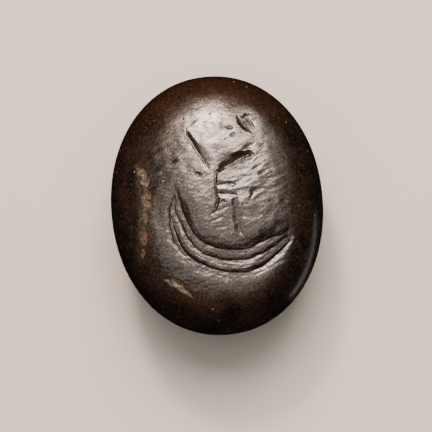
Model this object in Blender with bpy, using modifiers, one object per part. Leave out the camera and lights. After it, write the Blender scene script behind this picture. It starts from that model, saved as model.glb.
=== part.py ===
"""Stamp seal: one oval bead of dark haematite, lying on its back with the cut face up.

The stone is turned, drawn out into an oval, drilled across its short axis for a cord,
and cut with a forked, banded device over a crescent of three lines. Sizes are in metres,
+Z is up, and the origin is under the middle of the stone.
"""

import math
from collections import namedtuple

import bmesh
import bpy
from mathutils import Matrix, Vector

MM = 0.001

# The stone. "Reach" runs from 0 on the middle axis to 1 at the girdle.
WIDTH = 14.2 * MM
LENGTH = 17.4 * MM
HEIGHT = 10.45 * MM
GIRDLE_HEIGHT = 6.0 * MM
FLANK_RISE = 6.3 * MM
BACK_DROP = 6.2 * MM
FACE_CROWN = 0.85 * MM
FACE_REACH = 0.70
SHOULDER_BLEND = 0.45 * MM
SHOULDER_AT_TOP = math.log1p(math.exp((HEIGHT - GIRDLE_HEIGHT - FLANK_RISE) / SHOULDER_BLEND))
SHOULDER_INSIDE = 0.16
SHOULDER_OUTSIDE = 0.10
OVAL_POWER = 2.08

# The facets of the turned form
STEPS_AROUND = 72
FACE_RINGS = 6
SHOULDER_RINGS = 5
FLANK_RINGS = 7
BACK_RINGS = 8

# The cord hole, drilled from both ends, so it is narrowest in the middle
BORE_HEIGHT = 4.6 * MM
BORE_RADIUS_INSIDE = 1.1 * MM
BORE_RADIUS_MOUTH = 1.3 * MM
BORE_SIDES = 24
BORE_OVERLAP = 0.3 * MM
BORE_OVERCUT = 1.0 * MM

# A wheel-cut groove is a V with its top held this far over the face. It is widest at
# its belly, a place from 0 to 1 along the line, and runs out to this share at its ends.
GROOVE_OVERCUT = 0.25 * MM
STEPS_PER_SPAN = 4
SLOPE_STEP = 0.1 * MM
GROOVE_END = 0.4
Groove = namedtuple("Groove", "knots left right depth belly")

# Knots are places on the face in mm, x across and y along. Left and right are the widths
# of the two walls, as seen along the line, and depth is below the face, also in mm.
CRESCENT = {
    "crescent_inner": Groove(
        [(-2.36, 0.9), (-2.08, -0.6), (-1.24, -2.44), (0.63, -3.42), (2.86, -3.14), (4.95, -2.3)],
        left=0.48, right=0.85, depth=0.20, belly=0.45),
    "crescent_middle": Groove(
        [(-2.52, 0.1), (-2.32, -1.3), (-1.57, -2.93), (0.14, -4.0), (2.26, -4.04), (4.7, -2.84)],
        left=0.50, right=0.62, depth=0.21, belly=0.45),
    "crescent_outer": Groove(
        [(-2.88, -0.94), (-2.56, -2.36), (-1.65, -3.84), (0.24, -4.82), (2.71, -4.77), (4.7, -3.3)],
        left=0.42, right=0.62, depth=0.21, belly=0.5),
    "crescent_edge": Groove(
        [(-2.6, 0.35), (-3.0, -0.8), (-2.89, -2.33), (-2.25, -3.5)],
        left=0.16, right=0.20, depth=0.08, belly=0.5),
}
DEVICE = {
    "left_arm": Groove([(-1.35, 4.6), (-0.8, 3.43), (0.0, 2.16)], 0.32, 0.15, 0.18, belly=0.45),
    "right_arm": Groove([(0.49, 1.8), (1.38, 2.27), (2.75, 2.8)], 0.50, 0.18, 0.36, belly=0.5),
    "right_barb": Groove([(2.3, 3.12), (2.7, 3.4), (3.05, 3.6)], 0.22, 0.14, 0.07, belly=0.4),
    "stem_left": Groove([(0.5, 1.85), (0.33, 0.4), (0.0, -0.95)], 0.14, 0.18, 0.08, belly=0.7),
    "stem_right": Groove([(1.47, -0.05), (1.48, -1.4), (1.8, -2.6)], 0.32, 0.24, 0.11, belly=0.7),
    "upper_band": Groove([(0.47, 0.88), (0.95, 0.91), (1.48, 0.86)], 0.20, 0.17, 0.10, belly=0.5),
    "lower_band": Groove([(0.47, 0.32), (0.8, 0.26), (1.45, 0.18)], 0.22, 0.24, 0.10, belly=0.5),
    "foot_stroke_high": Groove([(0.05, -1.0), (0.6, -0.75), (1.1, -0.52)], 0.14, 0.17, 0.07, belly=0.4),
    "foot_stroke_mid": Groove([(-0.22, -1.5), (0.2, -1.38), (0.62, -1.3)], 0.14, 0.17, 0.07, belly=0.5),
    "foot_stroke_low": Groove([(0.0, -1.93), (0.35, -1.9), (0.75, -1.88)], 0.14, 0.18, 0.07, belly=0.4),
    "foot_stroke_last": Groove([(0.15, -2.35), (0.4, -2.35), (0.6, -2.3)], 0.13, 0.18, 0.05, belly=0.4),
    "side_mark": Groove([(2.55, -0.1), (2.84, 0.3), (3.5, 0.42)], 0.26, 0.28, 0.08, belly=0.5),
}
CHIPS = {
    "chip_left_high": Groove([(-4.82, 2.7), (-4.42, 2.1), (-4.48, 1.25)], 0.28, 0.50, 0.15, belly=0.4),
    "chip_left_upper": Groove([(-4.22, 0.95), (-4.22, 0.4), (-4.32, -0.15)], 0.20, 0.66, 0.13, belly=0.5),
    "chip_left_mid": Groove([(-4.5, -0.46), (-4.46, -0.82), (-4.58, -1.12)], 0.16, 0.40, 0.08, belly=0.5),
    "chip_left_lower": Groove([(-4.7, -1.46), (-4.62, -1.95), (-4.72, -2.46)], 0.18, 0.50, 0.11, belly=0.5),
    "chip_left_low": Groove([(-4.94, -2.88), (-4.92, -3.1), (-4.94, -3.32)], 0.13, 0.30, 0.07, belly=0.5),
    "chip_bottom": Groove([(-3.62, -4.98), (-2.72, -5.32), (-1.9, -6.24)], 0.26, 0.38, 0.15, belly=0.4),
}

# Scoops: middle, and half sizes along, across and down, in mm; the turn in degrees.
Scoop = namedtuple("Scoop", "middle half_sizes turn")
PITS = {
    "leaf_nick": Scoop((2.55, 5.0), (0.74, 0.40, 0.14), 118),
    "long_pit": Scoop((1.5, 4.72), (0.34, 0.20, 0.05), -4),
    "round_pit": Scoop((1.68, 4.18), (0.28, 0.24, 0.05), 0),
    "wide_pit": Scoop((1.02, 4.85), (0.30, 0.30, 0.04), 0),
    "fork_pit": Scoop((-0.84, 1.72), (0.34, 0.22, 0.05), -28),
    "band_pit": Scoop((0.68, -0.2), (0.20, 0.16, 0.05), 0),
}

STONE_COLOUR = (0.045, 0.024, 0.016, 1.0)
STONE_ROUGHNESS = 0.42


def clear_scene():
    """Take every object out of the open file."""
    for item in list(bpy.data.objects):
        bpy.data.objects.remove(item, do_unlink=True)


def new_collection(name):
    """Make a collection in the scene."""
    collection = bpy.data.collections.new(name)
    bpy.context.scene.collection.children.link(collection)
    return collection


def stone_material():
    """Dark haematite with a soft polish."""
    material = bpy.data.materials.new("haematite")
    material.use_nodes = True
    shader = material.node_tree.nodes["Principled BSDF"]
    shader.inputs["Base Color"].default_value = STONE_COLOUR
    shader.inputs["Roughness"].default_value = STONE_ROUGHNESS
    shader.inputs["Metallic"].default_value = 0.0
    return material


def front_height(reach):
    """Height of the front: the crowned face, blended into the flank round the shoulder."""
    face = HEIGHT - FACE_CROWN * (reach / FACE_REACH) ** 2
    flank = GIRDLE_HEIGHT + FLANK_RISE * math.sqrt(max(0.0, 1.0 - reach * reach))
    over = math.log1p(math.exp((face - flank) / SHOULDER_BLEND))
    return face - SHOULDER_BLEND * (over - SHOULDER_AT_TOP)


def back_height(reach):
    """Height of the rounded back, under which the stone is ground flat to lie still."""
    return GIRDLE_HEIGHT - BACK_DROP * math.sqrt(max(0.0, 1.0 - reach * reach))


def spread(start, end, count):
    """Evenly spaced values after start, up to and with end."""
    return [start + (end - start) * (i + 1) / count for i in range(count)]


def stone_profile():
    """Half outline of the stone from the top of the axis down its outer side."""
    shoulder_start = FACE_REACH - SHOULDER_INSIDE
    shoulder_end = FACE_REACH + SHOULDER_OUTSIDE
    reaches = spread(0.0, shoulder_start, FACE_RINGS)
    reaches += spread(shoulder_start, shoulder_end, SHOULDER_RINGS)
    front = [(0.0, front_height(0.0))]
    front += [(reach, front_height(reach)) for reach in reaches]
    flank_angles = spread(math.asin(shoulder_end), math.pi / 2, FLANK_RINGS)
    front += [(math.sin(angle), front_height(math.sin(angle))) for angle in flank_angles]
    flat_angle = math.acos(GIRDLE_HEIGHT / BACK_DROP)
    back_angles = spread(math.pi / 2, flat_angle, BACK_RINGS)
    back = [(math.sin(angle), back_height(math.sin(angle))) for angle in back_angles]
    back[-1] = (math.sin(flat_angle), 0.0)
    return front + back + [(0.0, 0.0)]


def turn_profile(name, profile, steps, collection):
    """Turn a profile of (radius, height) points about Z with a Screw modifier."""
    mesh = bpy.data.meshes.new(name)
    blank = bpy.data.objects.new(name, mesh)
    collection.objects.link(blank)
    outline = bmesh.new()
    points = [outline.verts.new((radius, 0.0, height)) for radius, height in profile]
    for first, second in zip(points, points[1:]):
        outline.edges.new((first, second))
    outline.to_mesh(mesh)
    outline.free()
    screw = blank.modifiers.new("turn", "SCREW")
    screw.axis = "Z"
    screw.steps = steps
    screw.render_steps = steps
    screw.use_merge_vertices = True
    screw.merge_threshold = 0.00001
    return blank


def as_mesh(source, name, collection):
    """Replace an object by a plain mesh object of its evaluated form."""
    bpy.context.view_layer.update()
    evaluated = source.evaluated_get(bpy.context.evaluated_depsgraph_get())
    mesh = bpy.data.meshes.new_from_object(evaluated)
    shell = bmesh.new()
    shell.from_mesh(mesh)
    bmesh.ops.remove_doubles(shell, verts=shell.verts, dist=0.000001)
    shell.to_mesh(mesh)
    shell.free()
    result = bpy.data.objects.new(name, mesh)
    result.matrix_world = source.matrix_world
    collection.objects.link(result)
    bpy.data.objects.remove(source, do_unlink=True)
    return result


def draw_oval(stone):
    """Draw the round blank out into the seal's oval, a little fuller than an ellipse."""
    for point in stone.data.vertices:
        radius = math.hypot(point.co.x, point.co.y)
        if radius < 1e-9:
            continue
        across = point.co.x / radius
        along = point.co.y / radius
        fuller = (abs(across) ** OVAL_POWER + abs(along) ** OVAL_POWER) ** (-1.0 / OVAL_POWER)
        point.co.x = across * radius * fuller * WIDTH / 2
        point.co.y = along * radius * fuller * LENGTH / 2


def reach_of(x, y):
    """How far out a place lies, as a part of the way to the girdle."""
    across = abs(x) / (WIDTH / 2)
    along = abs(y) / (LENGTH / 2)
    return (across ** OVAL_POWER + along ** OVAL_POWER) ** (1.0 / OVAL_POWER)


def on_face(x_mm, y_mm):
    """The point of the uncut front over a place given in mm."""
    x = x_mm * MM
    y = y_mm * MM
    return Vector((x, y, front_height(reach_of(x, y))))


def smooth_line(knots):
    """Points of a smooth curve through the knots, in mm (Catmull-Rom)."""
    ends = [knots[0]] + list(knots) + [knots[-1]]
    line = []
    for before, start, end, after in zip(ends, ends[1:], ends[2:], ends[3:]):
        for step in range(STEPS_PER_SPAN):
            t = step / STEPS_PER_SPAN
            line.append(tuple(
                0.5 * (2 * s + (e - b) * t + (2 * b - 5 * s + 4 * e - a) * t * t
                       + (3 * s - b - 3 * e + a) * t ** 3)
                for b, s, e, a in zip(before, start, end, after)))
    line.append(knots[-1])
    return line


def groove_section(name, groove, collection):
    """The V of a cutting wheel's rim, with its top over the face."""
    depth = groove.depth * MM
    widen = (depth + GROOVE_OVERCUT) / groove.depth
    corners = [(0.0, -depth), (-groove.left * widen, GROOVE_OVERCUT), (groove.right * widen, GROOVE_OVERCUT)]
    curve = bpy.data.curves.new(name + "_section", "CURVE")
    curve.dimensions = "2D"
    spline = curve.splines.new("POLY")
    spline.points.add(len(corners) - 1)
    for point, (x, y) in zip(spline.points, corners):
        point.co = (x, y, 0.0, 1.0)
    spline.use_cyclic_u = True
    section = bpy.data.objects.new(name + "_section", curve)
    collection.objects.link(section)
    return section


def groove_size(place, belly):
    """Share of the full width and depth at a place from 0 to 1 along the groove."""
    distance = (belly - place) / belly if place < belly else (place - belly) / (1.0 - belly)
    return GROOVE_END + (1.0 - GROOVE_END) * math.cos(distance * math.pi / 2) ** 0.6


def face_fall(line, index):
    """How steeply the face falls to the right of a line at one of its points, as an angle."""
    before = Vector(line[max(index - 1, 0)])
    after = Vector(line[min(index + 1, len(line) - 1)])
    right = Vector((after.y - before.y, before.x - after.x)).normalized() * SLOPE_STEP / MM
    middle = Vector(line[index])
    fall = on_face(*(middle - right)).z - on_face(*(middle + right)).z
    return math.atan2(fall, 2 * SLOPE_STEP)


def groove_cutter(name, groove, collection):
    """A V-shaped rail that follows the face, and leans with it, along a line of knots."""
    section = groove_section(name, groove, collection)
    curve = bpy.data.curves.new(name + "_rail", "CURVE")
    curve.dimensions = "3D"
    curve.twist_mode = "Z_UP"
    curve.bevel_mode = "OBJECT"
    curve.bevel_object = section
    curve.use_fill_caps = True
    line = smooth_line(groove.knots)
    spline = curve.splines.new("POLY")
    spline.points.add(len(line) - 1)
    for index, (point, place) in enumerate(zip(spline.points, line)):
        point.co = (*on_face(*place), 1.0)
        point.radius = groove_size(index / (len(line) - 1), groove.belly)
        point.tilt = face_fall(line, index)
    rail = bpy.data.objects.new(name + "_rail", curve)
    collection.objects.link(rail)
    cutter = as_mesh(rail, name, collection)
    bpy.data.objects.remove(section, do_unlink=True)
    return cutter


def mesh_object(name, shape, collection):
    """Put a finished bmesh in the scene as an object."""
    mesh = bpy.data.meshes.new(name)
    shape.to_mesh(mesh)
    shape.free()
    result = bpy.data.objects.new(name, mesh)
    collection.objects.link(result)
    return result


def scoop_cutter(name, scoop, collection):
    """A flattened ball that takes a shallow flake off the front."""
    ball = bmesh.new()
    bmesh.ops.create_icosphere(ball, subdivisions=2, radius=MM)
    turn = Matrix.Rotation(math.radians(scoop.turn), 3, "Z")
    bmesh.ops.scale(ball, vec=scoop.half_sizes, verts=ball.verts)
    bmesh.ops.rotate(ball, cent=(0, 0, 0), matrix=turn, verts=ball.verts)
    bmesh.ops.translate(ball, vec=on_face(*scoop.middle), verts=ball.verts)
    return mesh_object(name, ball, collection)


def bore_cutter(name, side, collection):
    """One tapered drilling, from just past the middle out through one flank."""
    length = BORE_OVERLAP + WIDTH / 2 + BORE_OVERCUT
    taper = (BORE_RADIUS_MOUTH - BORE_RADIUS_INSIDE) / (WIDTH / 2)
    drill = bmesh.new()
    bmesh.ops.create_cone(drill, cap_ends=True, segments=BORE_SIDES,
                          radius1=BORE_RADIUS_INSIDE, radius2=BORE_RADIUS_INSIDE + taper * length,
                          depth=length)
    bmesh.ops.translate(drill, vec=(0, 0, length / 2 - BORE_OVERLAP), verts=drill.verts)
    turn = Matrix.Rotation(side * math.pi / 2, 3, "Y")
    bmesh.ops.rotate(drill, cent=(0, 0, 0), matrix=turn, verts=drill.verts)
    bmesh.ops.translate(drill, vec=(0, 0, BORE_HEIGHT), verts=drill.verts)
    return mesh_object(name, drill, collection)


def cut(stone, tools):
    """Cut all the tools of a collection out of the stone, and hide the tools."""
    for cutter in tools.objects:
        cutter.hide_render = True
        cutter.display_type = "WIRE"
    boolean = stone.modifiers.new("cut", "BOOLEAN")
    boolean.operation = "DIFFERENCE"
    boolean.solver = "EXACT"
    boolean.operand_type = "COLLECTION"
    boolean.collection = tools


def build_seal():
    """The whole stone: turned, drawn oval, drilled, engraved and chipped."""
    parts = new_collection("stamp_seal")
    tools = new_collection("cutting_tools")
    blank = turn_profile("blank", stone_profile(), STEPS_AROUND, parts)
    stone = as_mesh(blank, "seal_stone", parts)
    draw_oval(stone)
    bore_cutter("bore_left", -1, tools)
    bore_cutter("bore_right", 1, tools)
    for name, groove in {**CRESCENT, **DEVICE, **CHIPS}.items():
        groove_cutter(name, groove, tools)
    for name, scoop in PITS.items():
        scoop_cutter(name, scoop, tools)
    cut(stone, tools)
    stone.data.materials.append(stone_material())
    stone.data.shade_smooth()
    stone.data.set_sharp_from_angle(angle=math.radians(30))


clear_scene()
build_seal()
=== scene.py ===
"""Looks of the stamp seal: a worn, wheel-cut haematite bead lying with its face up.

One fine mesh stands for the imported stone. It starts as a ball, is drawn into the stone's
form, drilled, refined where the engraving needs it and then carved: every groove, pit and
chip lowers the face by a function of its own line or middle. Sizes are in mm until the mesh
is done, and lamps and camera are placed in metres.
"""
import math
from collections import namedtuple

import bmesh
import bpy
import numpy as np
from mathutils import Matrix, Vector, noise


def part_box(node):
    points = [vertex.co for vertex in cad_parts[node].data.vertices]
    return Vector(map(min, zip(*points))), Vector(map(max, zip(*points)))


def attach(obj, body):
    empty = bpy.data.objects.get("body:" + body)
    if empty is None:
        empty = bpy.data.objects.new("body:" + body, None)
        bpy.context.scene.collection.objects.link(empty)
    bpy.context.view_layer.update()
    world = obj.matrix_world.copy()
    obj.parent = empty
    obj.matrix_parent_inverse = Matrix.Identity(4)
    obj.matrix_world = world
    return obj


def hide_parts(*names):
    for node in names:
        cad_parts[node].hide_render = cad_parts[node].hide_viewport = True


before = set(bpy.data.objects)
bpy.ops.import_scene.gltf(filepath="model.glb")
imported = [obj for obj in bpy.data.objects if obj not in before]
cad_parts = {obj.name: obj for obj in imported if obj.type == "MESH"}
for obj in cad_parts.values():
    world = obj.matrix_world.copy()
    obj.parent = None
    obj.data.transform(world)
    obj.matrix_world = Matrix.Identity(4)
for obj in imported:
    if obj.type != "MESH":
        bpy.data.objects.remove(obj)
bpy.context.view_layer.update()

MM = 0.001

# The stone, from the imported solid. Reach runs from 0 on the axis to 1 at the girdle.
low_corner, high_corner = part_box("seal_stone")
HALF_WIDTH = (high_corner.x - low_corner.x) / 2 / MM
HALF_LENGTH = (high_corner.y - low_corner.y) / 2 / MM
HEIGHT = (high_corner.z - low_corner.z) / MM
GIRDLE_HEIGHT = 6.0
# The oval is a little fuller than an ellipse, whose power is 2
OVAL_POWER = 2.08
# How far above the girdle the flanks would meet without the face, and how far below it the
# back would lie if it weren't ground flat
FLANK_RISE = 6.3
BACK_DROP = 6.2
# The face is crowned, so it lies lower by this much where it has this reach
FACE_CROWN = 0.85
FACE_REACH = 0.70
# How softly the face rounds over into the flank. The second value makes up for what the
# softness takes off the middle of the face.
SHOULDER_BLEND = 0.45
SHOULDER_AT_TOP = math.log1p(math.exp((HEIGHT - GIRDLE_HEIGHT - FLANK_RISE) / SHOULDER_BLEND))

# The cord hole, narrowest in the middle, and the scores that the turning drill left in it
BORE_HEIGHT = 4.6
BORE_RADIUS_INSIDE = 1.1
BORE_RADIUS_MOUTH = 1.3
BORE_SIDES = 64
BORE_RINGS = 48
DRILL_OVERSHOOT = 0.6
SCORE_DEPTH = 0.012
SCORES_PER_MM = 3.0
SCORE_START = 0.3

# The mesh: how fine the ball is, and how often the face is divided, first evenly and then
# where a face would miss the relief by more than the error. What it misses of the finish
# counts with the weight.
BALL_SUBDIVISIONS = 6
EVEN_ROUNDS = 2
BENT_ROUNDS = 2
CARVED_REACH = 0.84
RELIEF_ERROR = 0.0011
FINISH_WEIGHT = 0.012
# The carved front starts this far above the girdle, and ends a little past the divided face
FRONT_RISE = 0.5
FRONT_MARGIN = 0.05

# Wheel-cut grooves. Knots are places on the face, x across and y along. Left and right
# are the two walls as seen along the line, each a width and a power: a wall of power 1
# falls evenly, and a higher power falls ever steeper towards the bottom. Sizes are shares
# of all this, spread evenly along the line. The crease is what the wheel's edge cut below
# the walls: its depth, and how fast it dies out to the left and to the right.
NO_CREASE = (0.0, 0.06, 0.06)
Groove = namedtuple("Groove", "knots depth left right sizes crease", defaults=[NO_CREASE])
# Where a groove has only a share of its size, its width is this power of that share
NARROWING = 0.7
# A crease or a burr is worked out to this many of its own widths
FADED_OUT = 4

CRESCENT = [
    # the inner line
    Groove([(-2.36, 0.93), (-2.22, 0.10), (-2.08, -0.60), (-1.88, -1.22), (-1.60, -1.88),
            (-1.24, -2.44), (-0.66, -2.96), (-0.05, -3.25), (0.63, -3.42), (1.28, -3.47),
            (1.78, -3.50), (2.32, -3.37), (2.86, -3.14), (3.38, -2.95), (3.80, -2.83),
            (4.20, -2.73), (4.62, -2.54), (4.95, -2.30)],
           0.10, (0.48, 1.3), (2.00, 1.0), (0.1, 1, 1, 0.7, 0.6, 0.65, 0.8, 0.95, 0.8, 0.4),
           crease=(0.03, 0.07, 1.20)),
    # the middle line
    Groove([(-2.52, 0.13), (-2.58, -0.38), (-2.50, -0.77), (-2.32, -1.31), (-2.13, -1.85),
            (-1.89, -2.39), (-1.57, -2.93), (-1.13, -3.36), (-0.49, -3.76), (0.14, -4.01),
            (0.66, -4.12), (1.21, -4.13), (1.73, -4.15), (2.26, -4.04), (2.78, -3.91),
            (3.21, -3.73), (3.59, -3.53), (4.02, -3.24), (4.34, -3.06), (4.68, -2.84)],
           0.065, (0.38, 1.5), (0.60, 1.1), (0.4, 0.8, 0.9, 0.75, 0.85, 1, 0.9, 0.6, 0.6, 0.7),
           crease=(0.03, 0.06, 0.70)),
    # the outer line, and its last stretch, cut deep into the shoulder
    Groove([(-2.88, -0.94), (-2.77, -1.30), (-2.70, -1.78), (-2.56, -2.36), (-2.38, -2.86),
            (-2.08, -3.35), (-1.65, -3.84), (-1.01, -4.27), (-0.33, -4.62), (0.24, -4.82),
            (1.13, -4.98), (1.65, -4.98), (2.17, -4.94), (2.71, -4.77), (3.04, -4.56),
            (3.36, -4.39), (3.68, -4.18), (4.00, -3.90), (4.26, -3.72), (4.54, -3.46),
            (4.82, -3.14)],
           0.08, (0.38, 1.2), (0.75, 1.1), (0.4, 0.9, 1, 0.9, 0.8, 0.7, 0.7, 0.7, 0.4, 0.2),
           crease=(0.03, 0.06, 0.70)),
    Groove([(2.17, -4.94), (2.71, -4.78), (3.36, -4.40), (4.00, -3.92), (4.54, -3.46),
            (4.85, -3.12)],
           0.10, (0.80, 1.0), (0.27, 1.1), (0.1, 0.6, 1, 0.85, 0.45)),
    # a faint cut beside the left horn
    Groove([(-2.55, 0.43), (-2.73, 0.11), (-2.94, -0.38), (-3.03, -0.84), (-3.02, -1.35),
            (-2.98, -1.86), (-2.89, -2.33), (-2.72, -2.76), (-2.47, -3.16), (-2.22, -3.55)],
           0.03, (0.18, 1.3), (0.24, 1.4), (0.6, 1, 1, 1, 0.4), crease=(0.03, 0.06, 0.06)),
]
# Fine lines of the wheel's grit in the crescent: spacing, drift and start of each set
GRIT_LINES = [(0.15, 0.05, 0.0), (0.21, 0.09, 1.3), (0.31, 0.12, 2.9), (0.11, 0.06, 4.4)]
GRIT_DRIFT_RATE = 1.7
GRIT_DEPTH = 0.006
# They are at their full depth where the wall is at least this deep
GRIT_WALL = 0.03

# The hollow that the crescent's lines lie in: a line, its depth, how far it is flat and
# how far it reaches to the left and right, and its sizes along the line.
Hollow = namedtuple("Hollow", "knots depth flat reach sizes")
CRESCENT_HOLLOW = Hollow(
    [(-2.50, 0.60), (-2.60, -0.27), (-2.52, -0.96), (-2.25, -1.70), (-1.58, -2.93),
     (-0.52, -3.78), (0.81, -4.17), (2.28, -4.03), (3.47, -3.54), (4.79, -2.84)],
    0.075, (0.70, 0.75), (1.50, 1.70), (0, 0.4, 0.7, 0.9, 1, 1, 1, 1, 0.6))

DEVICE = [
    # the fork's left arm: the cut with its steep far side, a thin start, and a soft wall
    Groove([(-1.34, 4.46), (-1.10, 3.90), (-0.84, 3.40), (-0.59, 2.95), (-0.34, 2.55),
            (-0.04, 2.14)],
           0.15, (0.35, 1.1), (0.10, 0.12), (0.7, 0.9, 1, 0.9, 0.4)),
    Groove([(-1.44, 4.86), (-1.34, 4.62), (-1.22, 4.28)],
           0.03, (0.10, 1.2), (0.10, 1.2), (0.3, 0.8, 0.8), crease=(0.03, 0.05, 0.05)),
    Groove([(-0.95, 3.80), (-0.55, 3.02), (-0.10, 2.32)],
           0.10, (0.65, 1.5), (0.10, 1.2), (0.3, 0.9, 1, 0.4)),
    # the fork's right arm: its core, soft wall, blunt end and barb, and a shallow cut beside it
    Groove([(0.46, 1.76), (0.90, 2.02), (1.38, 2.27), (1.82, 2.48), (2.24, 2.66), (2.55, 2.76)],
           0.34, (0.56, 1.0), (0.17, 0.10), (0.35, 0.75, 0.97, 1, 1, 1, 0.95, 0.8, 0.6)),
    Groove([(0.30, 1.95), (0.90, 2.15), (1.40, 2.42), (2.00, 2.68)],
           0.17, (0.95, 1.6), (0.10, 1.2), (0.4, 0.9, 1, 0.8, 0.3)),
    Groove([(2.00, 2.64), (2.28, 2.74), (2.56, 2.80), (2.82, 2.80)],
           0.17, (0.34, 1.2), (0.32, 1.0), (0.3, 0.8, 1, 0.8, 0.5)),
    Groove([(2.00, 2.90), (2.30, 3.10), (2.56, 3.28), (2.82, 3.42), (3.08, 3.54)],
           0.07, (0.26, 1.2), (0.22, 1.3), (0.3, 0.7, 1, 0.9, 0.3)),
    Groove([(1.80, 2.10), (2.25, 2.28), (2.65, 2.40), (3.00, 2.60)],
           0.05, (0.38, 1.2), (0.14, 1.2), (0.2, 0.7, 1, 0.9, 0.4)),
    # the stem's left edge
    Groove([(0.50, 1.88), (0.31, 1.43), (0.30, 0.89), (0.35, 0.35), (0.35, -0.12), (0.24, -0.51),
            (0.0, -0.95)],
           0.055, (0.16, 1.1), (0.22, 1.1), (0.55, 0.8, 0.95, 1, 0.6), crease=(0.02, 0.06, 0.06)),
    # the bands
    Groove([(0.47, 0.88), (0.95, 0.91), (1.48, 0.86)],
           0.075, (0.24, 1.2), (0.29, 1.2), (0.8, 1, 1, 1, 0.8)),
    Groove([(0.47, 0.32), (0.80, 0.26), (1.45, 0.18)],
           0.085, (0.27, 1.2), (0.29, 1.1), (0.8, 1, 1, 1, 0.8)),
    # the stem's right edge, cut again near the foot, where it turns into the crescent
    Groove([(1.47, -0.05), (1.46, -0.54), (1.47, -1.21), (1.52, -1.74), (1.60, -2.21),
            (1.80, -2.60)],
           0.100, (0.48, 1.2), (0.30, 1.2), (0.4, 0.8, 0.85, 1, 0.9, 0.2)),
    Groove([(1.48, -1.30), (1.53, -1.80), (1.62, -2.21), (1.82, -2.60)],
           0.11, (0.44, 1.3), (0.30, 1.2), (0.2, 0.8, 1, 0.9, 0.2)),
    # strokes between the stem's feet
    Groove([(0.05, -0.98), (0.58, -0.74), (1.10, -0.52)],
           0.022, (0.16, 1.2), (0.17, 1.2), (0.5, 0.95, 1, 0.7, 0.2), crease=(0.01, 0.06, 0.06)),
    Groove([(-0.22, -1.50), (0.20, -1.37), (0.62, -1.30)],
           0.022, (0.15, 1.2), (0.16, 1.2), (0.4, 0.85, 1, 0.85, 0.4), crease=(0.01, 0.06, 0.06)),
    Groove([(-0.04, -1.93), (0.35, -1.90), (0.76, -1.88)],
           0.020, (0.15, 1.2), (0.18, 1.2), (0.4, 0.95, 1, 0.8, 0.4)),
    Groove([(0.17, -2.34), (0.40, -2.36), (0.62, -2.30)],
           0.018, (0.14, 1.2), (0.16, 1.2), (0.4, 0.95, 1, 0.8, 0.4)),
]
# Dents right of the stem, and two short scores below the crescent's right tip
WORN_MARKS = [
    Groove([(2.52, -0.12), (2.66, 0.10), (2.84, 0.30), (3.12, 0.38), (3.6, 0.42)],
           0.09, (0.36, 1.2), (0.36, 1.8), (0.3, 0.9, 1, 0.6, 0.2)),
    Groove([(3.05, 1.38), (3.42, 1.51), (3.8, 1.7)],
           0.05, (0.2, 1.5), (0.26, 1.8), (0.2, 0.85, 1, 0.85, 0.2)),
    Groove([(2.30, -5.22), (2.75, -5.06), (3.20, -4.80)],
           0.020, (0.12, 1.2), (0.10, 1.2), (0.2, 0.9, 1, 0.7, 0.2)),
    Groove([(3.30, -4.70), (3.70, -4.42), (4.10, -4.06)],
           0.020, (0.11, 1.2), (0.09, 1.2), (0.2, 1, 0.8, 0.9, 0.2)),
    Groove([(2.75, 1.72), (3.10, 1.90), (3.5, 2.10)],
           0.04, (0.2, 1.5), (0.26, 1.8), (0.2, 0.85, 1, 0.85, 0.2)),
]
# A leaf-shaped nick with the wheel's fine ridges in it
NICK = [
    Groove([(2.04, 5.50), (2.14, 5.12), (2.34, 4.78), (2.58, 4.54), (2.86, 4.38)],
           0.06, (0.20, 1.2), (0.18, 1.2), (0.4, 0.9, 1, 1, 0.4), crease=(0.03, 0.07, 0.04)),
    Groove([(2.30, 5.26), (2.50, 4.90), (2.70, 4.62)],
           0.04, (0.12, 1.2), (0.08, 1.2), (0.5, 1, 0.7), crease=(0.03, 0.05, 0.04)),
    Groove([(2.58, 5.30), (2.79, 4.97), (2.92, 4.73)],
           0.04, (0.12, 1.2), (0.08, 1.2), (0.6, 1, 0.6), crease=(0.03, 0.05, 0.04)),
    Groove([(2.44, 5.30), (2.65, 4.92), (2.82, 4.66)],
           0.02, (0.08, 1.2), (0.08, 1.2), (0.4, 1, 0.6), crease=(0.03, 0.04, 0.04)),
    Groove([(2.83, 5.23), (3.05, 4.92), (3.13, 4.67)],
           0.03, (0.22, 1.2), (0.16, 1.2), (0.5, 1, 0.5), crease=(0.01, 0.06, 0.05)),
    Groove([(2.20, 5.52), (2.42, 5.36), (2.62, 5.50), (2.90, 5.62)],
           0.05, (0.14, 1.2), (0.18, 1.2), (0.3, 0.9, 1, 0.3), crease=(0.02, 0.06, 0.05)),
    Groove([(2.86, 4.98), (3.14, 5.20), (3.42, 5.34)], 0.03, (0.16, 1.2), (0.14, 1.2), (0.4, 1, 0.4)),
]
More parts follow.
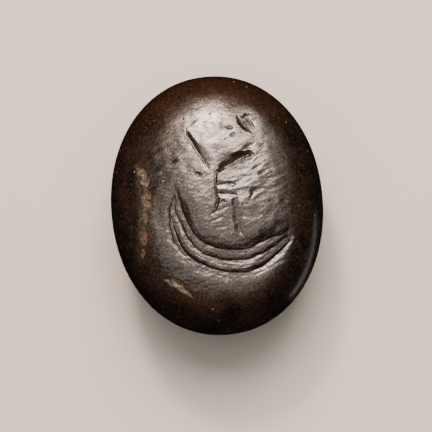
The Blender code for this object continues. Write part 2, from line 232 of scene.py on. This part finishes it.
# Chips knocked off the edge of the face, and last a scratch on the face
CHIPS = [
    Groove([(-4.82, 2.76), (-4.58, 2.46), (-4.36, 2.14), (-4.24, 1.76), (-4.26, 1.40),
            (-4.34, 1.10)],
           0.10, (0.22, 1.2), (0.66, 1.1), (0.3, 0.7, 1, 1, 0.7, 0.2)),
    Groove([(-4.24, 0.96), (-4.20, 0.66), (-4.28, 0.38)],
           0.10, (0.22, 1.2), (0.80, 1.1), (0.3, 0.9, 1, 0.6), crease=(0.01, 0.06, 0.06)),
    Groove([(-4.22, 0.36), (-4.20, 0.10), (-4.34, -0.16)],
           0.09, (0.18, 1.2), (0.76, 1.1), (0.5, 0.9, 1, 0.4), crease=(0.01, 0.06, 0.06)),
    Groove([(-4.50, -0.46), (-4.46, -0.82), (-4.60, -1.14)],
           0.04, (0.16, 1.2), (0.44, 1.1), (0.4, 0.95, 1, 0.4), crease=(0.01, 0.06, 0.06)),
    Groove([(-4.70, -1.44), (-4.60, -1.95), (-4.74, -2.50)],
           0.08, (0.18, 1.2), (0.58, 1.1), (0.3, 0.95, 0.8, 0.9, 0.4), crease=(0.01, 0.06, 0.06)),
    Groove([(-4.96, -2.86), (-4.92, -3.08), (-4.95, -3.34)],
           0.04, (0.12, 1.2), (0.30, 1.1), (0.4, 0.85, 1, 0.5), crease=(0.01, 0.06, 0.06)),
    Groove([(-3.62, -4.98), (-3.16, -5.10), (-2.72, -5.36), (-2.32, -5.78), (-1.90, -6.26)],
           0.12, (0.26, 1.3), (0.38, 1.2), (0.2, 0.9, 1, 0.9, 0.5, 0.2), crease=(0.01, 0.06, 0.06)),
    Groove([(-3.50, 1.93), (-3.22, 2.11), (-2.87, 2.31)],
           0.06, (0.24, 1.3), (0.27, 1.3), (0.1, 0.42, 0.5, 0.45, 0.1)),
]
# A chip is all fresh break where it has this share of its depth
BREAK_SHARE = 0.45
# The weathered strip that the chips on the left lie in; its depth is only a share of break
STRIP = Hollow(
    [(-4.60, 2.70), (-4.62, 1.60), (-4.62, 0.30), (-4.72, -0.90), (-4.90, -2.10), (-5.06, -3.40)],
    0.32, (0.18, 0.18), (0.55, 0.60), (0.2, 0.8, 0.8, 1, 1, 0.8, 0.4))

# Burrs thrown up beside the deepest cuts: knots, height and half width
Burr = namedtuple("Burr", "knots height width")
BURRS = [
    Burr([(0.70, 1.78), (0.98, 1.92), (1.40, 2.14), (1.84, 2.36), (2.15, 2.54)], 0.028, 0.065),
]
# The lower this power, the blunter a burr ends
BURR_TAPER = 0.3

# Pits: middle, half sizes along and across, turn in degrees, and depth
Pit = namedtuple("Pit", "middle along across turn depth")
PITS = [
    Pit((1.50, 4.72), 0.34, 0.20, -4, 0.025),
    Pit((1.00, 4.85), 0.32, 0.38, 0, 0.011),
    Pit((1.28, 4.80), 0.16, 0.12, 0, 0.014),
    Pit((1.68, 4.18), 0.30, 0.24, 0, 0.025),
    Pit((1.19, 3.93), 0.13, 0.11, 0, 0.012),
    Pit((3.55, 3.32), 0.26, 0.22, 0, 0.007),
    Pit((-0.84, 1.72), 0.34, 0.22, -28, 0.024),
    Pit((-1.10, 2.00), 0.16, 0.12, 0, 0.010),
    Pit((0.26, 5.76), 0.10, 0.08, 0, 0.014),
    Pit((-1.60, 5.58), 0.12, 0.09, 0, 0.010),
    Pit((-2.28, 2.75), 0.36, 0.20, 20, 0.012),
    Pit((0.68, -0.20), 0.20, 0.16, 0, 0.020),
]
# Broad sags of the worn face, and with negative depths two rises
SAGS = [
    Pit((2.15, 2.15), 1.70, 1.60, 0, 0.060),
    Pit((2.40, 5.10), 1.25, 1.15, 0, 0.035),
    Pit((2.30, 6.50), 1.35, 1.30, 0, 0.065),
    Pit((-1.90, 6.70), 1.50, 1.30, 0, 0.045),
    Pit((0.02, 2.32), 0.66, 0.52, 0, 0.035),
    Pit((2.15, -0.60), 0.85, 0.95, 0, -0.035),
    Pit((2.25, -1.95), 1.35, 1.20, 0, -0.045),
    Pit((0.55, 2.80), 1.20, 1.00, 0, 0.045),
]
# The higher this power, the softer a pit's rim
PIT_POWER = 1.5

# How softly neighbouring cuts run into each other
WORN_ROUND = 0.008
# The nick and the pits get their full painted shade where they are this deep
NICK_SHADE_DEPTH = 0.09
PIT_SHADE_DEPTH = 0.008

# Unevenness of the worn face: wave length, how steep it is, the turn of its waves and how
# far they stray from it (both in degrees, 90 running along the stone), and its seed
Swell = namedtuple("Swell", "length slope turn stray seed")
SWELLS = [
    Swell(1.7, 0.026, 90, 90, 1),
    Swell(0.8, 0.030, 90, 90, 2),
    Swell(0.42, 0.032, 100, 35, 3),
    Swell(0.20, 0.045, 94, 45, 4),
]
# Each swell is this many waves, their lengths between these shares of its own
WAVES_EACH = 28
WAVE_SHORTEST = 0.7
WAVE_LONGEST = 1.4
# The swells fade over this much reach towards the smooth shoulder, where this share is left
SMOOTH_REACH = 0.78
SMOOTH_FADE = 0.16
SMOOTH_SHARE = 0.1
# The middle of the face is worn down a little farther
WORN_LOSS = 0.014
WORN_LOSS_REACH = 0.25
# Ripples where the wheel skidded, and the middle and half size of each such place
RIPPLES = [Swell(0.62, 0.075, 104, 18, 9), Swell(0.36, 0.075, 102, 22, 10)]
RIPPLED = [((2.7, 1.2), (1.8, 1.7)), ((3.2, -4.3), (1.4, 0.8))]
# Hackles: the roughness of fresh break
HACKLES = [Swell(0.50, 0.11, 90, 90, 7), Swell(0.20, 0.12, 90, 90, 8)]

# How far the cutter's hand strayed to and fro, and over what length
HAND = 0.014
HAND_LENGTH = 0.9
HAND_ACROSS = Swell(HAND_LENGTH, 1.0, 90, 90, 5)
HAND_ALONG = Swell(HAND_LENGTH, 1.0, 90, 90, 6)

# Colours of the stone, of what lies in it, of the shade painted into its nick and pits, and of its breaks
BLACK_STONE = (0.0045, 0.0033, 0.0028)
BROWN_STONE = (0.0170, 0.0088, 0.0054)
FLECK = (0.025, 0.0135, 0.008)
RED_END = (0.029, 0.0110, 0.0042)
BROWN_END = (0.027, 0.0145, 0.0080)
SPECK = (0.055, 0.033, 0.021)
# painted shade for the nick and the pits, darker than the stone
PIT_SHADE_COLOUR = (0.0025, 0.0019, 0.0016)
DUST = (0.34, 0.31, 0.27)
CREAM_BREAK = (0.150, 0.126, 0.092)
RUSTY_BREAK = (0.128, 0.076, 0.052)
DARK_CRUMB = (0.040, 0.028, 0.020)
STONE_IOR = 1.9
# Heights of the grain that is too fine for the mesh
FINE_GRAIN = 0.006
COARSE_GRAIN = 0.010

FLOOR_COLOUR = (0.78, 0.77, 0.75)
FLOOR_ROUGHNESS = 0.8
FLOOR_HALF = 400
ROOM_LIGHT = 0.008

# The camera: where it stands and how it leans, in degrees, how far off it is and how much
# it takes in, in metres, and how far the stone's axis lies right of and above the middle
CAMERA_AZIMUTH = 30
CAMERA_ELEVATION = 83
CAMERA_LEAN = 4.7
CAMERA_DISTANCE = 0.40
VIEW_WIDTH = 0.028944
SENSOR = 36
STONE_RIGHT = 0.067
STONE_UP = 0.70


# ---- the stone's form

def front_height(reach):
    """Height of the uncut front: the crowned face, blended into the flank."""
    face = HEIGHT - FACE_CROWN * (reach / FACE_REACH) ** 2
    flank = GIRDLE_HEIGHT + FLANK_RISE * np.sqrt(np.clip(1.0 - reach * reach, 0.0, 1.0))
    return face - SHOULDER_BLEND * (np.log1p(np.exp((face - flank) / SHOULDER_BLEND)) - SHOULDER_AT_TOP)


def back_height(reach):
    """Height of the rounded back, ground flat underneath."""
    height = GIRDLE_HEIGHT - BACK_DROP * np.sqrt(np.clip(1.0 - reach * reach, 0.0, 1.0))
    return np.maximum(height, 0.0)


def reach_of(x, y):
    """How far out a place lies, as a part of the way to the girdle."""
    across = np.abs(x) / HALF_WIDTH
    along = np.abs(y) / HALF_LENGTH
    return (across ** OVAL_POWER + along ** OVAL_POWER) ** (1.0 / OVAL_POWER)


def points_of(shape):
    """The places of a bmesh's points as an array."""
    return np.array([point.co for point in shape.verts])


def move_points(shape, places):
    """Put a bmesh's points at the places."""
    for point, place in zip(shape.verts, places.tolist()):
        point.co = place


def form_stone(shape):
    """Draw a unit ball out into the stone."""
    ball = points_of(shape)
    reach = np.hypot(ball[:, 0], ball[:, 1])
    turn = np.arctan2(ball[:, 1], ball[:, 0])
    across = np.cos(turn)
    along = np.sin(turn)
    fuller = (np.abs(across) ** OVAL_POWER + np.abs(along) ** OVAL_POWER) ** (-1.0 / OVAL_POWER)
    height = np.where(ball[:, 2] >= 0.0, front_height(reach), back_height(reach))
    places = np.column_stack((across * reach * fuller * HALF_WIDTH,
                              along * reach * fuller * HALF_LENGTH, height))
    move_points(shape, places)


def drill():
    """The cord hole as a closed plug along X, scored by the turning drill."""
    plug = bmesh.new()
    half = HALF_WIDTH + DRILL_OVERSHOOT
    bmesh.ops.create_cone(plug, cap_ends=True, segments=BORE_SIDES, radius1=1.0, radius2=1.0, depth=2 * half)
    sides = [edge for edge in plug.edges if abs(edge.verts[0].co.z - edge.verts[1].co.z) > half]
    bmesh.ops.subdivide_edges(plug, edges=sides, cuts=BORE_RINGS, use_grid_fill=True)
    for point in plug.verts:
        outward = abs(point.co.z) / HALF_WIDTH
        radius = BORE_RADIUS_INSIDE + (BORE_RADIUS_MOUTH - BORE_RADIUS_INSIDE) * outward
        radius += SCORE_DEPTH * noise.noise(Vector((SCORE_START, 0.0, point.co.z * SCORES_PER_MM)))
        point.co.x *= radius
        point.co.y *= radius
    bmesh.ops.rotate(plug, cent=(0, 0, 0), matrix=Matrix.Rotation(math.pi / 2, 3, "Y"), verts=plug.verts)
    bmesh.ops.translate(plug, vec=(0, 0, BORE_HEIGHT), verts=plug.verts)
    return plug


# ---- carving

def smooth_line(knots, steps=6):
    """Points of a smooth curve through the knots (Catmull-Rom)."""
    ends = [knots[0]] + list(knots) + [knots[-1]]
    line = []
    for before, start, end, after in zip(ends, ends[1:], ends[2:], ends[3:]):
        b, s, e, a = (np.array(knot) for knot in (before, start, end, after))
        for step in range(steps):
            t = step / steps
            line.append(0.5 * (2 * s + (e - b) * t + (2 * b - 5 * s + 4 * e - a) * t ** 2
                               + (3 * s - b - 3 * e + a) * t ** 3))
    line.append(np.array(knots[-1]))
    return np.array(line)


def starts_of(line):
    """How far along the line each of its points lies."""
    return np.concatenate(([0.0], np.cumsum(np.hypot(*(line[1:] - line[:-1]).T))))


def along_line(places, line):
    """For each place: its distance from the line, its share of the way along, its side."""
    starts = starts_of(line)
    runs = np.diff(starts)
    distance = np.full(len(places), np.inf)
    share = np.zeros(len(places))
    side = np.ones(len(places))
    for start, end, run, done in zip(line, line[1:], runs, starts):
        way = (end - start) / run
        offset = places - start
        along = np.clip(offset @ way, 0.0, run)
        gap = offset - along[:, None] * way
        found = np.hypot(gap[:, 0], gap[:, 1])
        nearer = found < distance
        distance = np.where(nearer, found, distance)
        share = np.where(nearer, (done + along) / starts[-1], share)
        side = np.where(nearer, way[0] * offset[:, 1] - way[1] * offset[:, 0], side)
    return distance, share, side


def near_line(places, line, reach):
    """Which places lie within the line's own box and the reach around it."""
    return np.all((places > line.min(axis=0) - reach) & (places < line.max(axis=0) + reach), axis=1)


def scoring(across, along):
    """Fine lines left by the wheel's grit, at places across and along a groove."""
    value = np.zeros(len(across))
    for spacing, drift, start in GRIT_LINES:
        drifted = across + drift * np.sin(GRIT_DRIFT_RATE * along + start)
        value += np.sin(2 * math.pi * drifted / spacing + start)
    return value / len(GRIT_LINES)


def groove_depth(places, groove, grit=0.0):
    """How far one groove, its walls scored by grit or not, lowers the face at each place."""
    line = smooth_line(groove.knots)
    (left, left_power), (right, right_power) = groove.left, groove.right
    crease, crease_left, crease_right = groove.crease
    near = near_line(places, line, max(left, right, FADED_OUT * crease_left, FADED_OUT * crease_right))
    lowered = np.zeros(len(places))
    distance, share, side = along_line(places[near], line)
    size = np.interp(share, np.linspace(0.0, 1.0, len(groove.sizes)), groove.sizes)
    width = np.where(side > 0.0, left, right) * size ** NARROWING
    power = np.where(side > 0.0, left_power, right_power)
    wall = groove.depth * np.maximum(1.0 - distance / width, 0.0) ** power
    die_out = np.where(side > 0.0, crease_left, crease_right)
    if grit:
        scores = scoring(distance * np.sign(side), share * starts_of(line)[-1])
        wall += grit * np.minimum(wall / GRIT_WALL, 1.0) * scores
    lowered[near] = size * (wall + crease * np.exp(-distance / die_out))
    return lowered


def hollow_depth(places, hollow):
    """How far a flat-bottomed hollow lowers the face at each place."""
    distance, share, side = along_line(places, smooth_line(hollow.knots))
    flat = np.where(side > 0.0, *hollow.flat)
    reach = np.where(side > 0.0, *hollow.reach)
    rise = np.clip((distance - flat) / (reach - flat), 0.0, 1.0)
    size = np.interp(share, np.linspace(0.0, 1.0, len(hollow.sizes)), hollow.sizes)
    return hollow.depth * size * (0.5 + 0.5 * np.cos(math.pi * rise))


def burr_height(places, burr):
    """How far one burr stands above the face at each place."""
    line = smooth_line(burr.knots)
    near = near_line(places, line, FADED_OUT * burr.width)
    raised = np.zeros(len(places))
    distance, share, _ = along_line(places[near], line)
    ends = (4 * share * (1 - share)) ** BURR_TAPER
    raised[near] = burr.height * np.exp(-(distance / burr.width) ** 2) * ends
    return raised


def pit_depth(places, pit):
    """How far one round or long pit lowers the face at each place."""
    turn = math.radians(pit.turn)
    offset = places - np.array(pit.middle)
    along = (offset[:, 0] * math.cos(turn) + offset[:, 1] * math.sin(turn)) / pit.along
    across = (offset[:, 1] * math.cos(turn) - offset[:, 0] * math.sin(turn)) / pit.across
    out = np.minimum(np.hypot(along, across), 1.0)
    return pit.depth * (1.0 - out * out) ** PIT_POWER


def swell_height(places, swell):
    """Unevenness at each place: many small waves laid over each other."""
    draw = np.random.default_rng(swell.seed)
    lengths = swell.length * draw.uniform(WAVE_SHORTEST, WAVE_LONGEST, WAVES_EACH)
    turns = np.radians(swell.turn + draw.uniform(-swell.stray, swell.stray, WAVES_EACH))
    starts = draw.uniform(0.0, 2 * math.pi, WAVES_EACH)
    height = np.zeros(len(places))
    for length, turn, start in zip(lengths, turns, starts):
        run = places[:, 0] * math.cos(turn) + places[:, 1] * math.sin(turn)
        height += length * np.sin(2 * math.pi * run / length + start)
    return height * swell.slope / (2 * math.pi) * math.sqrt(2.0 / WAVES_EACH)


def hand_wobble(places):
    """The places, shifted a little to and fro as the cutter's hand strayed."""
    across = swell_height(places, HAND_ACROSS)
    along = swell_height(places, HAND_ALONG)
    scale = HAND * 2 * math.pi / HAND_LENGTH
    return places + scale * np.column_stack((across, along))


def chipped(places):
    """How much of each place is fresh break, from 0 to 1."""
    shares = [np.minimum(groove_depth(places, chip) / (BREAK_SHARE * chip.depth), 1.0) for chip in CHIPS]
    return np.max(shares + [hollow_depth(places, STRIP)], axis=0)


def painted_pit_shade(places):
    """How much painted shade the nick and the pits get at each place, from 0 to 1."""
    cuts = [groove_depth(places, groove) / NICK_SHADE_DEPTH for groove in NICK]
    pits = [pit_depth(places, pit) / PIT_SHADE_DEPTH for pit in PITS]
    return np.clip(np.max(cuts + pits, axis=0), 0.0, 1.0)


def rippled(places):
    """How strong the ripples are at each place."""
    share = np.zeros(len(places))
    for middle, size in RIPPLED:
        off = (places - np.array(middle)) / np.array(size)
        share += np.exp(-(off * off).sum(axis=1))
    return share


def relief(places):
    """How high the carved face lies above the uncut one at each place.

    Of the device, the nick, the marks, the chips and the pits the deepest counts, with worn
    ridges between them. The crescent, the sags and the unevenness add up.
    """
    cut_at = hand_wobble(places)
    total = np.ones(len(places))
    for groove in DEVICE + NICK + WORN_MARKS + CHIPS:
        total += np.expm1(groove_depth(cut_at, groove) / WORN_ROUND)
    for pit in PITS:
        total += np.expm1(pit_depth(cut_at, pit) / WORN_ROUND)
    height = -WORN_ROUND * np.log(total)
    for groove in CRESCENT:
        height -= groove_depth(cut_at, groove, GRIT_DEPTH)
    height -= hollow_depth(cut_at, CRESCENT_HOLLOW)
    for sag in SAGS:
        height -= pit_depth(places, sag)
    for burr in BURRS:
        height += burr_height(cut_at, burr)
    reach = reach_of(places[:, 0], places[:, 1])
    worn = np.clip((SMOOTH_REACH - reach) / SMOOTH_FADE, SMOOTH_SHARE, 1.0)
    for swell in SWELLS:
        height += worn * swell_height(places, swell)
    height -= WORN_LOSS * np.exp(-(reach / WORN_LOSS_REACH) ** 2)
    skidded = rippled(places)
    for ripple in RIPPLES:
        height += skidded * swell_height(places, ripple)
    rough = chipped(cut_at)
    for hackle in HACKLES:
        height += rough * swell_height(places, hackle)
    return height


def refine(shape, faces):
    """Divide every edge of the faces once, and keep the mesh in triangles."""
    edges = list({edge for face in faces for edge in face.edges})
    bmesh.ops.subdivide_edges(shape, edges=edges, cuts=1)
    bmesh.ops.triangulate(shape, faces=[face for face in shape.faces if len(face.verts) > 3])


def bent_faces(shape):
    """The faces whose middles lie too far off the relief and the finish of their corners."""
    places = points_of(shape)
    shape.verts.index_update()
    heights = relief(places[:, :2])
    faces = [face for face in shape.faces if face.calc_center_median().z > GIRDLE_HEIGHT]
    corners = np.array([[point.index for point in face.verts] for face in faces])
    middles = places[corners].mean(axis=1)
    misses = np.abs(relief(middles[:, :2]) - heights[corners].mean(axis=1))
    for share_of in (chipped, painted_pit_shade):
        at_points = share_of(hand_wobble(places[:, :2]))
        at_middles = share_of(hand_wobble(middles[:, :2]))
        misses += FINISH_WEIGHT * np.abs(at_middles - at_points[corners].mean(axis=1))
    carved = reach_of(middles[:, 0], middles[:, 1]) < CARVED_REACH
    return [face for face, miss, inside in zip(faces, misses, carved) if inside and miss > RELIEF_ERROR]


def refine_face(shape):
    """Refine the face evenly, and then again where the carving bends."""
    for _ in range(EVEN_ROUNDS):
        refine(shape, [face for face in shape.faces
                       if (middle := face.calc_center_median()).z > GIRDLE_HEIGHT
                       and reach_of(middle.x, middle.y) < CARVED_REACH])
    for _ in range(BENT_ROUNDS):
        refine(shape, bent_faces(shape))


def carve(shape):
    """Lay the refined front back on its true form, carve it, and note its breaks and the painted shade of
    its nick and pits.
    """
    places = points_of(shape)
    reach = reach_of(places[:, 0], places[:, 1])
    front = (places[:, 2] > GIRDLE_HEIGHT + FRONT_RISE) & (reach < CARVED_REACH + FRONT_MARGIN)
    places[front, 2] = front_height(reach[front]) + relief(places[front][:, :2])
    move_points(shape, places)
    for name, share_of in (("broken", chipped), ("painted_pit_shade", painted_pit_shade)):
        shares = np.zeros(len(places))
        shares[front] = share_of(hand_wobble(places[front][:, :2]))
        layer = shape.verts.layers.float.new(name)
        for point, share in zip(shape.verts, shares.tolist()):
            point[layer] = share


def mesh_piece(name, shape):
    """Make a finished bmesh a smooth object in metres."""
    bmesh.ops.scale(shape, vec=(MM, MM, MM), verts=shape.verts)
    mesh = bpy.data.meshes.new(name)
    shape.to_mesh(mesh)
    shape.free()
    mesh.shade_smooth()
    piece = bpy.data.objects.new(name, mesh)
    bpy.context.scene.collection.objects.link(piece)
    return piece


def cut_out(piece, tool):
    """Take the tool out of the piece for good."""
    boolean = piece.modifiers.new("cut", "BOOLEAN")
    boolean.operation = "DIFFERENCE"
    boolean.solver = "EXACT"
    boolean.object = tool
    bpy.context.view_layer.update()
    evaluated = piece.evaluated_get(bpy.context.evaluated_depsgraph_get())
    mesh = bpy.data.meshes.new_from_object(evaluated)
    piece.modifiers.clear()
    piece.data = mesh
    bpy.data.objects.remove(tool, do_unlink=True)


def make_stone():
    """The whole stone as one mesh."""
    shape = bmesh.new()
    bmesh.ops.create_icosphere(shape, subdivisions=BALL_SUBDIVISIONS, radius=1.0)
    form_stone(shape)
    piece = mesh_piece("carved_stone", shape)
    cut_out(piece, mesh_piece("drill", drill()))
    shape = bmesh.new()
    shape.from_mesh(piece.data)
    bpy.data.objects.remove(piece, do_unlink=True)
    bmesh.ops.scale(shape, vec=(1 / MM, 1 / MM, 1 / MM), verts=shape.verts)
    bmesh.ops.triangulate(shape, faces=[face for face in shape.faces if len(face.verts) > 3])
    refine_face(shape)
    carve(shape)
    return mesh_piece("carved_stone", shape)


# ---- finishes

def noise_field(material, scale, detail, roughness=0.5):
    """A cloud of values from 0 to 1 through the stone."""
    nodes = material.node_tree.nodes
    place = nodes.new("ShaderNodeTexCoord")
    field = nodes.new("ShaderNodeTexNoise")
    field.inputs["Scale"].default_value = scale
    field.inputs["Detail"].default_value = detail
    field.inputs["Roughness"].default_value = roughness
    material.node_tree.links.new(place.outputs["Object"], field.inputs["Vector"])
    return field.outputs["Fac"]


def span(material, value, low, high, to_low=0.0, to_high=1.0):
    """A value drawn out from low..high to another range, and held there."""
    node = material.node_tree.nodes.new("ShaderNodeMapRange")
    node.inputs["From Min"].default_value = low
    node.inputs["From Max"].default_value = high
    node.inputs["To Min"].default_value = to_low
    node.inputs["To Max"].default_value = to_high
    material.node_tree.links.new(value, node.inputs["Value"])
    return node.outputs["Result"]


def scaled(material, value, by):
    """One value times another."""
    node = material.node_tree.nodes.new("ShaderNodeMath")
    node.operation = "MULTIPLY"
    material.node_tree.links.new(value, node.inputs[0])
    material.node_tree.links.new(by, node.inputs[1])
    return node.outputs["Value"]


def mixed(material, share, first, second):
    """Two colours mixed; each is a colour or another mix."""
    node = material.node_tree.nodes.new("ShaderNodeMix")
    node.data_type = "RGBA"
    material.node_tree.links.new(share, node.inputs["Factor"])
    for socket, colour in ((node.inputs["A"], first), (node.inputs["B"], second)):
        if isinstance(colour, tuple):
            socket.default_value = (*colour, 1.0)
        else:
            material.node_tree.links.new(colour, socket)
    return node.outputs["Result"]


def shaded(material, colour, by):
    """A colour made darker or lighter by a value."""
    node = material.node_tree.nodes.new("ShaderNodeMix")
    node.data_type = "RGBA"
    node.blend_type = "MULTIPLY"
    node.inputs["Factor"].default_value = 1.0
    material.node_tree.links.new(colour, node.inputs["A"])
    material.node_tree.links.new(by, node.inputs["B"])
    return node.outputs["Result"]


def bumped(material, field, height, under=None):
    """A bump of a field at its height in mm, over the one under it."""
    node = material.node_tree.nodes.new("ShaderNodeBump")
    node.inputs["Strength"].default_value = 1.0
    node.inputs["Distance"].default_value = height * MM
    material.node_tree.links.new(field, node.inputs["Height"])
    if under is not None:
        material.node_tree.links.new(under, node.inputs["Normal"])
    return node.outputs["Normal"]


def attribute(material, name):
    """The value that the mesh carries under a name."""
    node = material.node_tree.nodes.new("ShaderNodeAttribute")
    node.attribute_name = name
    return node.outputs["Fac"]


def axes_of(material):
    """Where each place lies in the stone: X across, Y along, Z up, in metres."""
    place = material.node_tree.nodes.new("ShaderNodeTexCoord")
    axes = material.node_tree.nodes.new("ShaderNodeSeparateXYZ")
    material.node_tree.links.new(place.outputs["Object"], axes.inputs["Vector"])
    return axes.outputs


def dust(material):
    """Specks of dust, thinly spread."""
    place = material.node_tree.nodes.new("ShaderNodeTexCoord")
    cells = material.node_tree.nodes.new("ShaderNodeTexVoronoi")
    cells.inputs["Scale"].default_value = 1100
    material.node_tree.links.new(place.outputs["Object"], cells.inputs["Vector"])
    return span(material, cells.outputs["Distance"], 0.060, 0.040)


def stone_colour_and_shade(material, axes, grain, pit_shade):
    """Near black and brown in patches, warmer at both ends, with painted shade darkening it down the flanks
    and in the nick and pits.
    """
    patches = span(material, noise_field(material, scale=420, detail=4), 0.42, 0.68)
    flecks = span(material, noise_field(material, scale=1900, detail=5, roughness=0.6), 0.50, 0.72)
    specks = span(material, noise_field(material, scale=8000, detail=2), 0.60, 0.68)
    far_end = span(material, axes["Y"], 3.5 * MM, 8.5 * MM)
    near_end = scaled(material, span(material, axes["Y"], -4.5 * MM, -8.0 * MM), patches)
    colour = mixed(material, patches, BLACK_STONE, BROWN_STONE)
    colour = mixed(material, flecks, colour, FLECK)
    colour = mixed(material, far_end, colour, RED_END)
    colour = mixed(material, near_end, colour, BROWN_END)
    colour = shaded(material, colour, span(material, grain, 0.35, 0.65, 0.35, 1.65))
    # painted shade: the colour darkens down the flanks, the lower the darker
    colour = shaded(material, colour, span(material, axes["Z"], 6.0 * MM, 9.5 * MM, 0.40, 1.0))
    colour = mixed(material, specks, colour, SPECK)
    # painted shade: the nick and the pits are darkened
    colour = mixed(material, pit_shade, colour, PIT_SHADE_COLOUR)
    return mixed(material, dust(material), colour, DUST)


def broken_colour(material, axes):
    """Fresh break: mostly cream farther up the stone and rusty lower down, with dark crumbs."""
    rusty_end = span(material, axes["Y"], 1.4 * MM, 0.7 * MM, 0.15, 1.0)
    rust = span(material, noise_field(material, scale=1100, detail=3), 0.42, 0.62)
    rust = scaled(material, rust, rusty_end)
    clean = span(material, noise_field(material, scale=5000, detail=3), 0.38, 0.62)
    return mixed(material, clean, DARK_CRUMB, mixed(material, rust, CREAM_BREAK, RUSTY_BREAK))


def gloss_of(material, axes, grain, pit_shade, broken):
    """How strongly the stone mirrors the lamps: less in the painted shade of the nick and pits, in breaks
    and on one side.
    """
    gloss = span(material, grain, 0.3, 0.7, 0.22, 0.76)
    gloss = scaled(material, gloss, span(material, pit_shade, 0.0, 1.0, 1.0, 0.3))
    gloss = scaled(material, gloss, span(material, broken, 0.0, 1.0, 1.0, 0.15))
    dull_side = span(material, axes["X"], -1.2 * MM, -3.0 * MM)
    dull_side = scaled(material, dull_side, span(material, axes["Y"], -1.0 * MM, 2.0 * MM))
    return scaled(material, gloss, span(material, dull_side, 0.0, 1.0, 1.0, 0.72))


def haematite():
    """Dark stone with a steel sheen, rusty in patches, cream to orange where chipped, with painted shade
    down the flanks and in the nick and pits.
    """
    material = bpy.data.materials.new("haematite")
    material.use_nodes = True
    shader = material.node_tree.nodes["Principled BSDF"]
    links = material.node_tree.links
    axes = axes_of(material)
    grain = noise_field(material, scale=9000, detail=3, roughness=0.6)
    pit_shade = attribute(material, "painted_pit_shade")
    broken = attribute(material, "broken")
    stone = stone_colour_and_shade(material, axes, grain, pit_shade)
    links.new(mixed(material, broken, stone, broken_colour(material, axes)), shader.inputs["Base Color"])
    sheen = span(material, noise_field(material, scale=900, detail=4), 0.3, 0.7, 0.22, 0.31)
    links.new(sheen, shader.inputs["Roughness"])
    links.new(gloss_of(material, axes, grain, pit_shade, broken), shader.inputs["Specular IOR Level"])
    shader.inputs["IOR"].default_value = STONE_IOR
    fine = bumped(material, noise_field(material, scale=11000, detail=4, roughness=0.65), FINE_GRAIN)
    coarse = bumped(material, noise_field(material, scale=3000, detail=2), COARSE_GRAIN, under=fine)
    links.new(coarse, shader.inputs["Normal"])
    return material


def plain(name, colour, roughness):
    """A plain finish for the floor."""
    material = bpy.data.materials.new(name)
    material.use_nodes = True
    shader = material.node_tree.nodes["Principled BSDF"]
    shader.inputs["Base Color"].default_value = (*colour, 1.0)
    shader.inputs["Roughness"].default_value = roughness
    return material


# ---- floor, lamps and camera

def direction(azimuth, elevation):
    """Unit vector towards a viewer: azimuth 0 stands at -Y, 90 at +X."""
    turn = math.radians(azimuth)
    rise = math.radians(elevation)
    return Vector((math.sin(turn) * math.cos(rise), -math.cos(turn) * math.cos(rise), math.sin(rise)))


def soft_lamp(name, size, power, colour):
    """A rectangular lamp that shines down its own -Z."""
    data = bpy.data.lights.new(name, "AREA")
    data.shape = "RECTANGLE"
    data.size, data.size_y = size
    data.energy = power
    data.color = colour
    lamp = bpy.data.objects.new(name, data)
    bpy.context.scene.collection.objects.link(lamp)
    return lamp


def aimed_lamp(name, azimuth, elevation, distance, size, power, colour):
    """A soft lamp that faces the top of the stone from a direction, at a distance."""
    lamp = soft_lamp(name, size, power, colour)
    way = direction(azimuth, elevation)
    lamp.location = way * distance + Vector((0, 0, HEIGHT * MM))
    lamp.rotation_euler = way.to_track_quat("Z", "Y").to_euler()


def low_strip():
    """A weak strip of light on the floor, mirrored in the stone's right flank."""
    lamp = soft_lamp("low_strip", (0.012, 0.0015), 0.00005, (1.0, 0.93, 0.88))
    lamp.location = (0.0125, -0.0058, 0.0006)
    lamp.rotation_euler = (math.pi, 0.0, math.radians(-133))
    lamp.visible_camera = False


def add_light():
    """Warm lamps over and behind the face's top, a weak one at the left, and a dim room."""
    aimed_lamp("softbox", 169, 60.6, 0.30, (0.18, 0.18), 1.19, (1.0, 0.81, 0.67))
    aimed_lamp("overhead", 164, 84.5, 0.45, (0.61, 0.61), 1.62, (1.0, 0.86, 0.755))
    aimed_lamp("small_lamp", 187, 52, 0.30, (0.04, 0.04), 0.48, (1.0, 0.72, 0.56))
    aimed_lamp("fill", 280, 22, 0.45, (0.35, 0.35), 0.013, (1.0, 0.80, 0.66))
    low_strip()
    world = bpy.data.worlds.new("room")
    world.use_nodes = True
    background = world.node_tree.nodes["Background"]
    background.inputs["Color"].default_value = (ROOM_LIGHT, ROOM_LIGHT, ROOM_LIGHT, 1.0)
    bpy.context.scene.world = world


def add_camera():
    """A long lens looking almost straight down on the face."""
    back = direction(CAMERA_AZIMUTH, CAMERA_ELEVATION)
    lean = math.radians(CAMERA_LEAN)
    up = Vector((math.sin(lean), math.cos(lean), 0))
    up = (up - back * up.dot(back)).normalized()
    right = up.cross(back)
    target = Vector((0, 0, GIRDLE_HEIGHT * MM)) - right * STONE_RIGHT * MM - up * STONE_UP * MM
    data = bpy.data.cameras.new("camera")
    data.sensor_width = SENSOR
    data.lens = SENSOR * CAMERA_DISTANCE / VIEW_WIDTH
    data.clip_start = 0.01
    camera = bpy.data.objects.new("camera", data)
    rows = Matrix((right, up, back)).transposed().to_4x4()
    rows.translation = target + back * CAMERA_DISTANCE
    camera.matrix_world = rows
    bpy.context.scene.collection.objects.link(camera)
    bpy.context.scene.camera = camera


def add_floor():
    """A plain pale floor under the stone."""
    shape = bmesh.new()
    bmesh.ops.create_grid(shape, x_segments=1, y_segments=1, size=FLOOR_HALF)
    floor = mesh_piece("floor", shape)
    floor.data.materials.append(plain("pale_floor", FLOOR_COLOUR, FLOOR_ROUGHNESS))
    floor.visible_glossy = False


stone = make_stone()
stone.data.materials.append(haematite())
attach(stone, "root")
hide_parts("seal_stone")
add_floor()
add_light()
add_camera()
